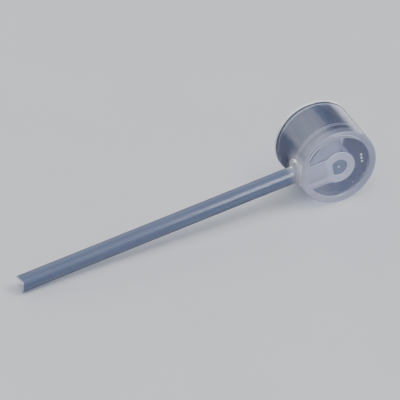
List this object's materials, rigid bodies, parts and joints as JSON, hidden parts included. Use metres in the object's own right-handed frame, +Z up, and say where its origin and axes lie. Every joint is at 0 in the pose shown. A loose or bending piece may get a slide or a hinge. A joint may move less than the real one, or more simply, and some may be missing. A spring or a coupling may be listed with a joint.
{
  "type": "pour spout",
  "caption": "Push-on translucent round cap with a stem socket inside and a long straight side tube for pouring or dosing, lying on its side.",
  "frame": {"origin": "on the cap's axis, at the stop inside the stem socket, where the end of a stem seats", "axes": "+Y along the cap's axis, out of its open mouth; +Z up as the part lies on a table; the tube leaves towards -X and droops until its tip touches the table"},
  "size_m": [0.0799, 0.0128, 0.0174],
  "materials": {
    "cap_plastic": "translucent natural polypropylene, satin",
    "tube_plastic": "clear tube with a slight blue-grey haze, glossy",
    "bead_plastic": "milky cured bead, glossy"
  },
  "bodies": {
    "root": {"cap_body": "cap_plastic", "spout_tube": "tube_plastic", "bond_bead": "bead_plastic"}
  },
  "joints": []
}
